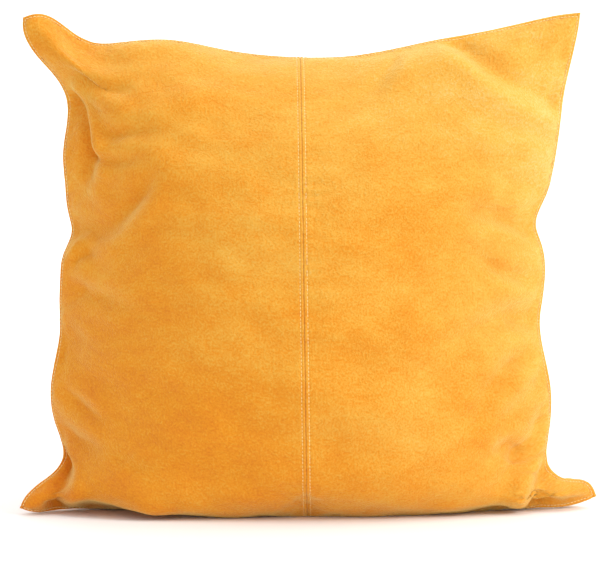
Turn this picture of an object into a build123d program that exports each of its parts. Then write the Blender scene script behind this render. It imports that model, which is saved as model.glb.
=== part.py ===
"""A square velvet throw pillow that stands on its lower edge.

The cover's front is two panels with a topstitched seam between them. Its back is
two panels with a coil zip across the middle. Inside is a separate insert: a
casing and its filling. Millimetres, +X to the right, +Y towards the back, +Z up,
with the origin on the floor, midway across and through the pillow.
"""

from build123d import *
import math
import os

# The outer skin
HALF_THICKNESS = 88.0  # from the seam plane to the middle of either face
MID_HALF_WIDTH = 213.0  # the sides pull in to this, halfway up
TOP_HEIGHT = 402.0  # of the top seam at its middle
EAR_OUT = 37.0  # how far the corners stand out past the sides
EAR_UP = 28.0  # how far the top corners stand above the top seam
EAR_POWER = 6  # a higher power keeps the ears nearer the corners
TOP_POWER = 4
WIDEST_HEIGHT = 190.0  # where the pillow is thickest, and where the zip lies
BELOW_FLOOR = 45.0  # the part of the lower bulge that the floor flattens
EAR_LIFT = 6.0  # the lower ears' tips above the floor
TOP_BULGE_DEG = 62.0  # half angle of the section above and below the thickest line
BASE_BULGE_DEG = 80.0
EDGE_HALF = 1.2  # half the thickness of the sewn edge
GRID = 28  # spans of the fitted surfaces, each way

# Layers, measured inwards from the outer skin
WALL = 1.2  # the velvet and its pile
TAPE_TOP = 1.25
TAPE_BOTTOM = 1.85
CASING_TOP = 4.5  # room for the slider between the cover and the insert
CASING_BOTTOM = 5.1
FILLING_TOP = 5.3
COVER_HOLLOW = (222.0, 396.0)  # half width and height of the hollow: the ears are flat
CASING_REACH = (215.0, 385.0)
CASING_HOLLOW = (214.0, 384.0)
FILLING_REACH = (213.6, 383.6)
CASING_BASE = 1.6
CASING_FLOOR = 2.2
FILLING_BASE = 2.4

# The zip, on an arc about a vertical line
ZIP_RADIUS = 350.0
ZIP_HALF = 185.0  # half the opening, straight across
ZIP_CENTRE_Y = HALF_THICKNESS - ZIP_RADIUS
ZIP_HALF_ANGLE = math.asin(ZIP_HALF / ZIP_RADIUS)
SLOT_HALF = 4.5
COIL_DEG = 31.1
STOP_DEG = (31.2, 31.65)
SLIDER_DEG = -30.4  # the closed end
COIL_BAND = (0.9, 2.9)  # from the zip's centre line
TAPE_BAND = (1.0, 13.0)
TAPE_HALF_LENGTH = 188.0
PULL_TILT_DEG = 5.0  # the pull's tip leans in towards the back

# Stitches
PITCH = 3.5
STITCH = (2.7, 0.55, 0.4)
CENTRE_ROW = 2.9  # each row from the centre seam
EDGE_ROW = 3.0  # from the knife edge
ZIP_ROW = 7.0  # from the zip's centre line

FAR = 1000.0


def side_arc():
    """Radius and centre of the arc that joins the zip's arc to the side seam."""
    direction = (math.sin(ZIP_HALF_ANGLE), math.cos(ZIP_HALF_ANGLE))
    seam = (MID_HALF_WIDTH, EDGE_HALF - ZIP_CENTRE_Y)
    along = seam[0] * direction[0] + seam[1] * direction[1]
    reach = (seam[0] ** 2 + seam[1] ** 2 - ZIP_RADIUS**2) / (2 * (along - ZIP_RADIUS))
    centre = (reach * direction[0], ZIP_CENTRE_Y + reach * direction[1])
    return ZIP_RADIUS - reach, centre


SIDE_RADIUS, SIDE_CENTRE = side_arc()


def arch(s, inset, edge):
    """Point of the level section at the widest height, s from -1 to 1 by length."""
    middle = (ZIP_RADIUS - inset) * ZIP_HALF_ANGLE
    end_angle = math.acos((edge - SIDE_CENTRE[1]) / (SIDE_RADIUS - inset))
    side = (SIDE_RADIUS - inset) * (end_angle - ZIP_HALF_ANGLE)
    run = abs(s) * (middle + side)
    if run < middle:
        angle = run / (ZIP_RADIUS - inset)
        x = (ZIP_RADIUS - inset) * math.sin(angle)
        y = ZIP_CENTRE_Y + (ZIP_RADIUS - inset) * math.cos(angle)
    else:
        angle = ZIP_HALF_ANGLE + (run - middle) / (SIDE_RADIUS - inset)
        x = SIDE_CENTRE[0] + (SIDE_RADIUS - inset) * math.sin(angle)
        y = SIDE_CENTRE[1] + (SIDE_RADIUS - inset) * math.cos(angle)
    return math.copysign(x, s), y


def skin_point(side, s, t, inset=0.0, edge=EDGE_HALF):
    """Point of a skin: side is -1 in front and 1 behind, t is -1 below and 1 on top.

    The layers of the insert end before the cover's ears.
    """
    ears = inset < CASING_TOP
    half_angle = math.radians(TOP_BULGE_DEG if t > 0 else BASE_BULGE_DEG)
    climb = math.sin(abs(t) * half_angle) / math.sin(half_angle)
    flat = math.cos(half_angle)
    fullness = (math.cos(t * half_angle) - flat) / (1 - flat)
    x, y = arch(s, inset, edge)
    across = abs(x) / MID_HALF_WIDTH
    if ears:
        x *= 1 + (EAR_OUT - 3 * inset) / MID_HALF_WIDTH * abs(t) ** EAR_POWER
    if t > 0:
        rise = (EAR_UP - 2 * inset) * across**TOP_POWER if ears else 0
        z = WIDEST_HEIGHT + (TOP_HEIGHT - 1.3 * inset - WIDEST_HEIGHT + rise) * climb
    else:
        rise = (BELOW_FLOOR + EAR_LIFT - 2 * inset) * across**EAR_POWER if ears else 0
        z = WIDEST_HEIGHT - (WIDEST_HEIGHT + BELOW_FLOOR - 1.3 * inset - rise) * climb
    return Vector(x, side * (edge + (y - edge) * fullness), z)


def skin_face(side, inset, edge):
    """Curved face through a grid of skin points. Side 0 gives its flat shadow."""
    steps = [2 * i / GRID - 1 for i in range(GRID + 1)]
    rows = [[skin_point(side, s, t, inset, edge) for s in steps] for t in steps]
    return Face.make_surface_from_array_of_points(rows)


def half_lens(side, inset, edge, base, reach=(FAR, FAR)):
    """Solid between the seam plane and one skin, cut level at its base."""
    skin = skin_face(side, inset, edge)
    shadow = skin_face(0, inset, edge)
    faces = [skin, shadow]
    for border in skin.edges():
        middle = border.center()
        flat_middle = Vector(middle.X, 0, middle.Z)
        partner = min(shadow.edges(), key=lambda e: (e.center() - flat_middle).length)
        faces.append(Face.make_surface_from_curves(border, partner))
    half_width, height = reach
    room = Pos(0, 0, (height + base) / 2) * Box(2 * half_width, FAR, height - base)
    return Solid(Shell(faces)) & room


def slab(x_range, z_range):
    """Box between two X and two Z planes, endless along Y."""
    (x_low, x_high), (z_low, z_high) = x_range, z_range
    place = Pos((x_low + x_high) / 2, 0, (z_low + z_high) / 2)
    return place * Box(x_high - x_low, FAR, z_high - z_low)


def sector(radii, z_range, degrees):
    """Block that follows the zip's arc."""
    inner, outer = radii
    start, end = (math.radians(d) for d in degrees)

    def on_arc(radius, angle):
        return (radius * math.sin(angle), ZIP_CENTRE_Y + radius * math.cos(angle))

    middle = (start + end) / 2
    outline = [
        ThreePointArc(*(on_arc(outer, a) for a in (start, middle, end))),
        Line(on_arc(outer, end), on_arc(inner, end)),
        ThreePointArc(*(on_arc(inner, a) for a in (end, middle, start))),
        Line(on_arc(inner, start), on_arc(outer, start)),
    ]
    face = Face(Wire(outline))
    return Pos(0, 0, z_range[0]) * extrude(face, z_range[1] - z_range[0], dir=(0, 0, 1))


def front_panels():
    """Left and right halves of the front, which meet at the centre seam."""
    outer = half_lens(-1, 0, EDGE_HALF, 0)
    hollow = half_lens(-1, WALL, 0.3, WALL, COVER_HOLLOW)
    left = (outer & slab((-FAR, 0), (-FAR, FAR))) - hollow
    right = (outer & slab((0, FAR), (-FAR, FAR))) - hollow
    return {"front_left_panel": left, "front_right_panel": right}


def back_panels():
    """Upper and lower halves of the back, open along the zip."""
    outer = half_lens(1, 0, EDGE_HALF, 0)
    hollow = half_lens(1, WALL, 0.3, WALL, COVER_HOLLOW)
    slot = slab(
        (-ZIP_HALF, ZIP_HALF), (WIDEST_HEIGHT - SLOT_HALF, WIDEST_HEIGHT + SLOT_HALF)
    )
    upper = (outer & slab((-FAR, FAR), (WIDEST_HEIGHT, FAR))) - hollow - slot
    lower = (outer & slab((-FAR, FAR), (-FAR, WIDEST_HEIGHT))) - hollow - slot
    return {"back_upper_panel": upper, "back_lower_panel": lower}


def zip_tapes():
    """Woven tapes that line the back just inside the panels."""
    layer = half_lens(1, TAPE_TOP, 0.3, WALL) - half_lens(1, TAPE_BOTTOM, 0.3, WALL)
    span = (-TAPE_HALF_LENGTH, TAPE_HALF_LENGTH)
    near, far = TAPE_BAND
    upper = layer & slab(span, (WIDEST_HEIGHT + near, WIDEST_HEIGHT + far))
    lower = layer & slab(span, (WIDEST_HEIGHT - far, WIDEST_HEIGHT - near))
    return {"zip_tape_upper": upper, "zip_tape_lower": lower}


def zip_coils():
    """The two rows of coil, with a gap that the slider's web runs in."""
    radii = (ZIP_RADIUS - 1.2, ZIP_RADIUS + 0.3)
    near, far = COIL_BAND
    ends = (-COIL_DEG, COIL_DEG)
    upper = sector(radii, (WIDEST_HEIGHT + near, WIDEST_HEIGHT + far), ends)
    lower = sector(radii, (WIDEST_HEIGHT - far, WIDEST_HEIGHT - near), ends)
    return {"zip_coil_upper": upper, "zip_coil_lower": lower}


def zip_end_stops():
    """A clamp across both coils at each end."""
    radii = (ZIP_RADIUS - 1.2, ZIP_RADIUS + 0.6)
    heights = (WIDEST_HEIGHT - 3.0, WIDEST_HEIGHT + 3.0)
    near, far = STOP_DEG
    stops = [sector(radii, heights, (near, far)), sector(radii, heights, (-far, -near))]
    return {"zip_end_stops": Compound(children=stops)}


def slider_plane():
    """Local x along the zip, local z outwards from the back, at the slider."""
    angle = math.radians(SLIDER_DEG)
    outwards = Vector(math.sin(angle), math.cos(angle), 0)
    origin = Vector(0, ZIP_CENTRE_Y, WIDEST_HEIGHT) + outwards * ZIP_RADIUS
    return Plane(origin, x_dir=(math.cos(angle), -math.sin(angle), 0), z_dir=outwards)


PLATE = (9.5, 7.8)
UPPER_PLATE = (0.7, 1.9)  # lowest and highest, outwards from the zip's arc
LOWER_PLATE = (-3.6, -2.3)
PIN_OUT = 3.4  # the pull's bar, outwards from the arc
PIN_RADIUS = 0.7


def zip_slider():
    """Two plates joined by a web at the nose, with side flanges and a crown."""
    outline = RectangleRounded(*PLATE, 2.2)
    upper = Pos(0, 0, UPPER_PLATE[0]) * extrude(outline, UPPER_PLATE[1] - UPPER_PLATE[0])
    lower = Pos(0, 0, LOWER_PLATE[0]) * extrude(outline, LOWER_PLATE[1] - LOWER_PLATE[0])
    web_height = UPPER_PLATE[0] - LOWER_PLATE[1]
    web = Pos(-3.2, 0, LOWER_PLATE[1] + web_height / 2) * Box(2.0, 1.0, web_height)
    body = upper + lower + web
    for y in (-3.6, 3.6):
        body += Pos(0, y, 0.1) * Box(5.0, 0.6, 1.2)
    crown_height = 3.5
    crown = Pos(0, 0, UPPER_PLATE[1] + crown_height / 2) * Box(6.0, 1.6, crown_height)
    crown = fillet(crown.edges().filter_by(Axis.Y).group_by(Axis.Z)[-1], 1.4)
    eye = Pos(0, 0, PIN_OUT) * Box(3.0, 1.6, 2.0)
    return {"zip_slider": slider_plane() * (body + (crown - eye))}


def zip_pull():
    """Flat tab with a window at one end, whose bar sits in the slider's crown."""
    neck = Pos(2.2, 0) * Rectangle(5.2, 4.8)
    tab = Pos(15.5, 0) * SlotOverall(23.0, 6.8)
    window = Pos(2.75, 0) * Rectangle(4.1, 2.4)
    hole = Pos(22.6, 0) * Circle(1.3)
    thickness = 2 * PIN_RADIUS
    plate = extrude((neck + tab) - window - hole, thickness / 2, both=True)
    bar_room = Pos(-PIN_RADIUS, 0, 0) * Box(2 * PIN_RADIUS, 6.0, 2 * thickness)
    bar = Rot(90, 0, 0) * Cylinder(PIN_RADIUS, 4.8)
    pull = (plate - bar_room) + bar
    return {"zip_pull": slider_plane() * Pos(0, 0, PIN_OUT) * Rot(0, PULL_TILT_DEG, 0) * pull}


def stitch(side, here, ahead):
    """One stitch, half sunk in the skin, from one (s, t) place towards the next."""
    start, end = skin_point(side, *here), skin_point(side, *ahead)
    along = (end - start).normalized()
    s, t = here
    small = 0.004
    across = skin_point(side, s + small, t) - skin_point(side, s - small, t)
    up = skin_point(side, s, t + small) - skin_point(side, s, t - small)
    outwards = across.cross(up) * -side
    return Plane((start + end) * 0.5, x_dir=along, z_dir=outwards) * Box(*STITCH)


def stitch_row(side, place):
    """Stitches at even pitch along place(u), which gives (s, t) for u from 0 to 1."""
    fine = 2000
    points = [skin_point(side, *place(k / fine)) for k in range(fine + 1)]
    stitches, run, next_at = [], 0.0, PITCH / 2
    for k in range(fine):
        run += (points[k + 1] - points[k]).length
        if run >= next_at:
            stitches.append(stitch(side, place(k / fine), place((k + 1) / fine)))
            next_at += PITCH
    return stitches


def half_arc_length():
    """Length of the level section from its middle to the side seam."""
    angle = math.acos((EDGE_HALF - SIDE_CENTRE[1]) / SIDE_RADIUS) - ZIP_HALF_ANGLE
    return ZIP_RADIUS * ZIP_HALF_ANGLE + SIDE_RADIUS * angle


HALF_ARC = half_arc_length()


def centre_topstitch():
    """Two rows of stitches, one each side of the centre seam."""
    s = CENTRE_ROW / HALF_ARC
    low, high = -0.62, 0.985
    rows = {}
    for name, sign in (("centre_topstitch_left", -1), ("centre_topstitch_right", 1)):
        row = stitch_row(-1, lambda u: (sign * s, low + (high - low) * u))
        rows[name] = Compound(children=row)
    return rows


def edge_topstitch():
    """Rows near the knife edge, up both sides and along the top."""
    s_edge = 1 - EDGE_ROW / HALF_ARC
    t_edge = 0.985
    t_low = -0.93
    left = stitch_row(-1, lambda u: (-s_edge, t_low + (t_edge - t_low) * u))
    top = stitch_row(-1, lambda u: (-0.96 + 1.92 * u, t_edge))
    right = stitch_row(-1, lambda u: (s_edge, t_low + (t_edge - t_low) * u))
    return {"edge_topstitch": Compound(children=left + top + right)}


def zip_topstitch():
    """Rows that hold the tapes to the panels, above and below the zip."""
    s_end = 0.8
    above = math.asin(ZIP_ROW / (TOP_HEIGHT - WIDEST_HEIGHT)
                      * math.sin(math.radians(TOP_BULGE_DEG))) / math.radians(TOP_BULGE_DEG)
    below = -math.asin(ZIP_ROW / (BELOW_FLOOR + WIDEST_HEIGHT)
                       * math.sin(math.radians(BASE_BULGE_DEG))) / math.radians(BASE_BULGE_DEG)
    rows = {}
    for name, t in (("zip_topstitch_upper", above), ("zip_topstitch_lower", below)):
        row = stitch_row(1, lambda u: (s_end * (2 * u - 1), t))
        rows[name] = Compound(children=row)
    return rows


def zip_end_bartacks():
    """A dense bar of thread across each end of the zip's opening."""
    bars = []
    for degrees in (-32.6, 32.6):
        radii = (ZIP_RADIUS - 1.1, ZIP_RADIUS + 0.3)
        bars.append(
            sector(radii, (WIDEST_HEIGHT - 5, WIDEST_HEIGHT + 5), (degrees - 0.16, degrees + 0.16))
        )
    return {"zip_end_bartacks": Compound(children=bars)}


def layer_patch(outer_inset, inner_inset, x_range, z_range):
    """Thin patch that follows the back at a depth below its skin."""
    layer = half_lens(1, outer_inset, 0.3, WALL) - half_lens(1, inner_inset, 0.3, WALL)
    return layer & slab(x_range, z_range)


def labels():
    """Two blank sewn-in labels, one inside the cover and one on the insert."""
    return {
        "cover_care_label": layer_patch(2.1, 2.4, (-150, -118), (60, 112)),
        "insert_care_label": layer_patch(3.7, 4.0, (60, 96), (60, 104)),
    }


def insert_casing():
    """Front and back of the insert's plain cotton casing."""
    pieces = {}
    for name, side in (("insert_front_shell", -1), ("insert_back_shell", 1)):
        outer = half_lens(side, CASING_TOP, 0.6, CASING_BASE, CASING_REACH)
        inner = half_lens(side, CASING_BOTTOM, 0.3, CASING_FLOOR, CASING_HOLLOW)
        pieces[name] = outer - inner
    return pieces


def insert_filling():
    """The soft filling, in one piece."""
    front = half_lens(-1, FILLING_TOP, 0.3, FILLING_BASE, FILLING_REACH)
    back = half_lens(1, FILLING_TOP, 0.3, FILLING_BASE, FILLING_REACH)
    return {"insert_filling": front + back}


def insert_seam_stitch():
    """Whip stitches that close the top of the casing."""
    count = 80
    pitch = 4.5
    height = CASING_REACH[1]
    stitches = [
        Pos((k - (count - 1) / 2) * pitch, 0, height) * Box(0.6, 4.0, 0.5) for k in range(count)
    ]
    return {"insert_seam_stitch": Compound(children=stitches)}


def build():
    """Every piece by its name."""
    pieces = {}
    for make in (
        front_panels,
        back_panels,
        centre_topstitch,
        edge_topstitch,
        zip_tapes,
        zip_coils,
        zip_end_stops,
        zip_slider,
        zip_pull,
        zip_topstitch,
        zip_end_bartacks,
        labels,
        insert_casing,
        insert_filling,
        insert_seam_stitch,
    ):
        pieces.update(make())
    return pieces


os.makedirs("parts", exist_ok=True)
for name, piece in build().items():
    export_step(piece, f"parts/{name}.step")
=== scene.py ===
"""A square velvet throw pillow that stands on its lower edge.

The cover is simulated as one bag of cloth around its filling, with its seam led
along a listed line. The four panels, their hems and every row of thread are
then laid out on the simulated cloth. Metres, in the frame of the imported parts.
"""

import logging
import math
from dataclasses import dataclass, field
from enum import Enum
from typing import Callable

import bpy
import numpy as np
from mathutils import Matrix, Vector


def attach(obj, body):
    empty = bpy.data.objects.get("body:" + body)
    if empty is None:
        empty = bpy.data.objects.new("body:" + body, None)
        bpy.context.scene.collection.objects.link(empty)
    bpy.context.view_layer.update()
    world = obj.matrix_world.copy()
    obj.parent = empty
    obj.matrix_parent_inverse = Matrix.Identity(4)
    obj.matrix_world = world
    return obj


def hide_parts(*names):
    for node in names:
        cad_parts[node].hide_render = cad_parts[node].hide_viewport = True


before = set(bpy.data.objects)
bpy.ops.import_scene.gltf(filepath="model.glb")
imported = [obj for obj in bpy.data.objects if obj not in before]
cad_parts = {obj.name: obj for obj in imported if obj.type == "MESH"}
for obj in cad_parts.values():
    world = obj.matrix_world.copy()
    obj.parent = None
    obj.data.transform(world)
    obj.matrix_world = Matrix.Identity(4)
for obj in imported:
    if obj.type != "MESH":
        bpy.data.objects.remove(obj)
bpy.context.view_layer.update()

LOG = logging.getLogger("pillow")
MM = 0.001
BODY = "pillow"
CUT = 0.500  # the cover's side, sewn and laid flat
WALL = 0.0012  # velvet, backing and pile
ZIP_HEIGHT = 0.190
ZIP_RADIUS = 0.350
SLOT_HALF = 0.0045
EDGE_ROW = 0.0030  # topstitch from the knife edge
CENTRE_ROW = 0.0029
ZIP_ROW = 0.0070  # from the zip's centre line

Grid = np.ndarray
Colour = tuple[float, float, float]
Place = tuple[float, float, float]
Pair = tuple[np.ndarray, np.ndarray]
StitchRow = tuple[np.ndarray, np.ndarray, np.ndarray]
Material = bpy.types.Material
Object = bpy.types.Object
Socket = bpy.types.NodeSocket
PathOfCut = Callable[[np.ndarray], Pair]


class Side(Enum):
    """A face of the pillow; the value is its direction along Y."""

    FRONT = -1
    BACK = 1


class Border(Enum):
    """How one border of a panel is sewn."""

    KNIFE = "turned edge with a topstitch"
    CENTRE = "seam pressed open and topstitched on both sides"
    HEM = "fold beside the zip"


# --------------------------------------------------------------------------- helpers


def natural_spline(knots: np.ndarray, values: np.ndarray, at: np.ndarray) -> np.ndarray:
    """Evaluate the natural cubic spline through values at knots.

    Args:
        knots: increasing parameters, one for each row of values.
        values: points to pass through, one row each.
        at: parameters to evaluate.

    Returns:
        One row for each parameter.
    """
    count = len(knots)
    step = np.diff(knots)
    matrix = np.eye(count)
    right = np.zeros((count, values.shape[1]))
    for i in range(1, count - 1):
        matrix[i, i - 1 : i + 2] = (step[i - 1], 2 * (step[i - 1] + step[i]), step[i])
        ahead = (values[i + 1] - values[i]) / step[i]
        behind = (values[i] - values[i - 1]) / step[i - 1]
        right[i] = 6 * (ahead - behind)
    bend = np.linalg.solve(matrix, right)
    k = np.clip(np.searchsorted(knots, at) - 1, 0, count - 2)
    run = (at - knots[k])[:, None]
    h = step[k][:, None]
    slope = (values[k + 1] - values[k]) / h - h * (2 * bend[k] + bend[k + 1]) / 6
    cubic = run**3 * (bend[k + 1] - bend[k]) / (6 * h)
    return values[k] + run * slope + run**2 * bend[k] / 2 + cubic


def even_outline(points: list[tuple[float, float]], count: int) -> np.ndarray:
    """Points at even spacing along a smooth curve through hand-chosen points.

    Args:
        points: plane points in millimetres.
        count: how many points to return.

    Returns:
        Plane points in metres.
    """
    chosen = np.array(points) * MM
    run = np.r_[0, np.cumsum(np.hypot(*np.diff(chosen, axis=0).T))]
    fine = natural_spline(run, chosen, np.linspace(0, run[-1], 400))
    along = np.r_[0, np.cumsum(np.hypot(*np.diff(fine, axis=0).T))]
    places = np.linspace(0, along[-1], count)
    return np.c_[np.interp(places, along, fine[:, 0]), np.interp(places, along, fine[:, 1])]


def smooth_step(x: np.ndarray, low: float, high: float) -> np.ndarray:
    """Rise smoothly from 0 at low to 1 at high."""
    t = np.clip((x - low) / (high - low), 0, 1)
    return t * t * (3 - 2 * t)


def wandering(u: np.ndarray, v: np.ndarray, wavelength: float, seed: int) -> np.ndarray:
    """Smooth seeded noise of the given wavelength, mostly within -1 to 1.

    Args:
        u: metres across the cut.
        v: metres up the cut.
        wavelength: metres.
        seed: of the random draws.

    Returns:
        An array of the shape of u.
    """
    draw = np.random.default_rng(seed)
    total = np.zeros(np.broadcast(u, v).shape)
    waves = 14
    for _ in range(waves):
        angle, phase = draw.uniform(0, 2 * math.pi, 2)
        k = 2 * math.pi / (wavelength * draw.uniform(0.7, 1.5))
        total += np.sin(k * (u * math.cos(angle) + v * math.sin(angle)) + phase)
    return total / math.sqrt(waves)


def refine(points: Grid) -> Grid:
    """Double a grid's cells with four-point interpolation, each way."""

    def once(rows: Grid) -> Grid:
        out = np.zeros((2 * len(rows) - 1,) + rows.shape[1:])
        out[::2] = rows
        wide = np.concatenate([2 * rows[:1] - rows[1:2], rows, 2 * rows[-1:] - rows[-2:-1]])
        out[1::2] = (-wide[:-3] + 9 * wide[1:-2] + 9 * wide[2:-1] - wide[3:]) / 16
        return out

    return once(once(points).transpose(1, 0, 2)).transpose(1, 0, 2)


def unit(vectors: np.ndarray) -> np.ndarray:
    """Vectors at length 1."""
    return vectors / np.maximum(np.linalg.norm(vectors, axis=-1, keepdims=True), 1e-12)


def new_mesh_object(
    name: str, vertices: np.ndarray, faces: np.ndarray, cut: np.ndarray | None = None
) -> Object:
    """Make a smooth-shaded mesh object at the origin.

    Args:
        name: of the object and its mesh.
        vertices: one row each, in metres.
        faces: vertex numbers, one row for each face.
        cut: place of each vertex on the flat cut, kept as the UV map.

    Returns:
        The linked object.
    """
    mesh = bpy.data.meshes.new(name)
    corners = faces.shape[1]
    mesh.vertices.add(len(vertices))
    mesh.vertices.foreach_set("co", np.ascontiguousarray(vertices, dtype=np.float32).ravel())
    mesh.loops.add(faces.size)
    mesh.loops.foreach_set("vertex_index", np.ascontiguousarray(faces, dtype=np.int32).ravel())
    mesh.polygons.add(len(faces))
    mesh.polygons.foreach_set("loop_start", np.arange(0, faces.size, corners, dtype=np.int32))
    mesh.polygons.foreach_set("use_smooth", np.ones(len(faces), dtype=bool))
    if cut is not None:
        layer = mesh.uv_layers.new(name="cut")
        layer.data.foreach_set("uv", cut[faces.ravel()].astype(np.float32).ravel())
    mesh.update(calc_edges=True)
    mesh.validate()
    made = bpy.data.objects.new(name, mesh)
    bpy.context.scene.collection.objects.link(made)
    return made


def grid_faces(rows: int, columns: int, first: int = 0, flip: bool = False) -> np.ndarray:
    """Quads of a grid of vertices numbered row by row from first."""
    index = first + np.arange(rows * columns).reshape(rows, columns)
    quads = np.stack([index[:-1, :-1], index[:-1, 1:], index[1:, 1:], index[1:, :-1]], -1)
    quads = quads.reshape(-1, 4)
    return quads[:, ::-1] if flip else quads


def wall_faces(rows: int, columns: int, flip: bool) -> np.ndarray:
    """Quads that close the rim between an outer grid and the inner grid after it."""
    outer = np.arange(rows * columns).reshape(rows, columns)
    ring = np.r_[outer[0, :-1], outer[:-1, -1], outer[-1, :0:-1], outer[:0:-1, 0]]
    ahead = np.roll(ring, -1)
    shift = rows * columns
    quads = np.stack([ahead, ring, ring + shift, ahead + shift], -1)
    return quads[:, ::-1] if flip else quads


def closed_cloth(
    name: str,
    outer: Grid,
    inner: Grid,
    flip: bool,
    cut: Pair | None = None,
) -> Object:
    """Make a closed piece from the points of its two faces.

    Args:
        name: of the object and its mesh.
        outer: points of the face that shows.
        inner: points of the face behind it.
        flip: turn the faces round.
        cut: u and v of the points, kept as the UV map.

    Returns:
        The linked object.
    """
    rows, columns = outer.shape[:2]
    faces = [
        grid_faces(rows, columns, 0, flip),
        grid_faces(rows, columns, rows * columns, not flip),
        wall_faces(rows, columns, flip),
    ]
    vertices = np.r_[outer.reshape(-1, 3), inner.reshape(-1, 3)]
    flat = None if cut is None else np.tile(np.stack(cut, -1).reshape(-1, 2), (2, 1))
    return new_mesh_object(name, vertices, np.concatenate(faces), flat)


def deselect() -> None:
    """Leave object mode with nothing selected."""
    if bpy.context.object and bpy.context.object.mode != "OBJECT":
        bpy.ops.object.mode_set(mode="OBJECT")
    bpy.ops.object.select_all(action="DESELECT")


def finish_piece(
    piece: Object, slot: str, material: Material, *nodes: str
) -> None:
    """Dress a piece and tie it to the frame.

    Args:
        piece: the finished object.
        slot: the record's material slot; not used.
        material: what it is made of.
        nodes: the CAD nodes that it stands for.
    """
    piece.data.materials.clear()
    piece.data.materials.append(material)
    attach(piece, BODY)
    if nodes:
        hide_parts(*nodes)
    LOG.info("%s: %d faces", piece.name, len(piece.data.polygons))


# ------------------------------------------------------------------- the cover's form


@dataclass(frozen=True)
class Fold:
    """A soft crease in the cloth, from start to end on the flat cut, in millimetres."""

    side: Side
    start: tuple[float, float]
    end: tuple[float, float]
    depth: float
    width: float
    bow: float = 0.0
    fades: bool = True

    def height(self, u: np.ndarray, v: np.ndarray) -> np.ndarray:
        """Outward movement of the cloth at u, v.

        Args:
            u: metres across the cut.
            v: metres up the cut.

        Returns:
            Metres, negative in the valley and positive on the ridge beside it.
        """
        start, end = np.array(self.start) * MM, np.array(self.end) * MM
        length = np.linalg.norm(end - start)
        along = (end - start) / length
        du, dv = u - start[0], v - start[1]
        run = (du * along[0] + dv * along[1]) / length
        off = dv * along[0] - du * along[1] - self.bow * MM * 4 * run * (1 - run)
        taper = smooth_step(run, -0.12, 0.06) * (1 - smooth_step(run, 0.94, 1.12))
        if self.fades:
            taper = smooth_step(run, -0.05, 0.25) * (1 - smooth_step(run, 0.45, 1.1))
        width = self.width * MM
        valley = np.exp(-((off / width) ** 2))
        ridge = 0.55 * np.exp(-(((off - 1.7 * width) / (1.2 * width)) ** 2))
        return self.depth * MM * taper * (ridge - valley)


def folds(side: Side, *rows: tuple[float | bool, ...]) -> tuple[Fold, ...]:
    """Folds of one side, from rows of start, end and the other values in Fold's order."""
    return tuple(Fold(side, row[:2], row[2:4], *row[4:]) for row in rows)


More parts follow.
